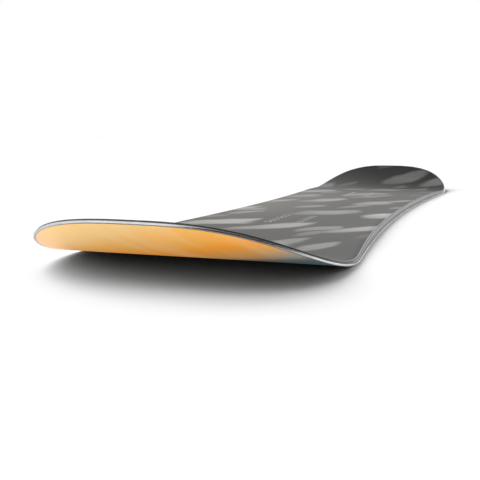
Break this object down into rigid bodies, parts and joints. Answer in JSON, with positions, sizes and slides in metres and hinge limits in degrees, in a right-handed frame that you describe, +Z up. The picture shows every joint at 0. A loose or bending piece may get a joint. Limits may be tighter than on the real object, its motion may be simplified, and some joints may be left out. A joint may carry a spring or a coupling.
{
  "type": "snowboard",
  "caption": "All-mountain snowboard with upturned nose and tail, sidecut steel edges, slanted sidewalls, a laminated wood core and threaded binding inserts.",
  "frame": {"origin": "on the running surface, midway between the nose tip and the tail tip, on the centreline", "axes": "+X along the board to the nose, +Y across the board to the left of someone who faces the nose, +Z up out of the topsheet"},
  "size_m": [1.58, 0.3036, 0.0579],
  "materials": {
    "base_plastic": "sintered polyethylene running base, fine stone-ground structure, warm orange that fades to blue-grey",
    "edge_steel": "ground and polished spring steel",
    "fibreglass": "triaxial glass cloth in cured epoxy, satin",
    "edge_rubber": "thin bonding rubber, matt",
    "sidewall_plastic": "milled sidewall plastic with fine lengthwise cutter marks, satin",
    "tip_plastic": "milled tip spacer plastic, satin",
    "soft_wood": "poplar, planed",
    "hard_wood": "beech, planed",
    "insert_steel": "turned stainless steel",
    "topsheet_film": "clear-coated grey film with lighter leaf-shaped satin strokes, semi-gloss"
  },
  "bodies": {
    "root": {"base_sheet": "base_plastic", "steel_edge_left": "edge_steel", "steel_edge_right": "edge_steel", "lower_glass": "fibreglass", "rubber_strip_left": "edge_rubber", "rubber_strip_right": "edge_rubber", "sidewall_left": "sidewall_plastic", "sidewall_right": "sidewall_plastic", "nose_spacer": "tip_plastic", "tail_spacer": "tip_plastic", "core_strip_centre": "soft_wood", "core_strip_insert_left": "hard_wood", "core_strip_insert_right": "hard_wood", "core_strip_left_1": "soft_wood", "core_strip_left_2": "hard_wood", "core_strip_left_3": "soft_wood", "core_strip_left_rim": "soft_wood", "core_strip_right_1": "soft_wood", "core_strip_right_2": "hard_wood", "core_strip_right_3": "soft_wood", "core_strip_right_rim": "soft_wood", "insert_front_01": "insert_steel", "insert_front_02": "insert_steel", "insert_front_03": "insert_steel", "insert_front_04": "insert_steel", "insert_front_05": "insert_steel", "insert_front_06": "insert_steel", "insert_front_07": "insert_steel", "insert_front_08": "insert_steel", "insert_front_09": "insert_steel", "insert_front_10": "insert_steel", "insert_front_11": "insert_steel", "insert_front_12": "insert_steel", "insert_rear_01": "insert_steel", "insert_rear_02": "insert_steel", "insert_rear_03": "insert_steel", "insert_rear_04": "insert_steel", "insert_rear_05": "insert_steel", "insert_rear_06": "insert_steel", "insert_rear_07": "insert_steel", "insert_rear_08": "insert_steel", "insert_rear_09": "insert_steel", "insert_rear_10": "insert_steel", "insert_rear_11": "insert_steel", "insert_rear_12": "insert_steel", "upper_glass": "fibreglass", "topsheet": "topsheet_film"}
  },
  "joints": []
}
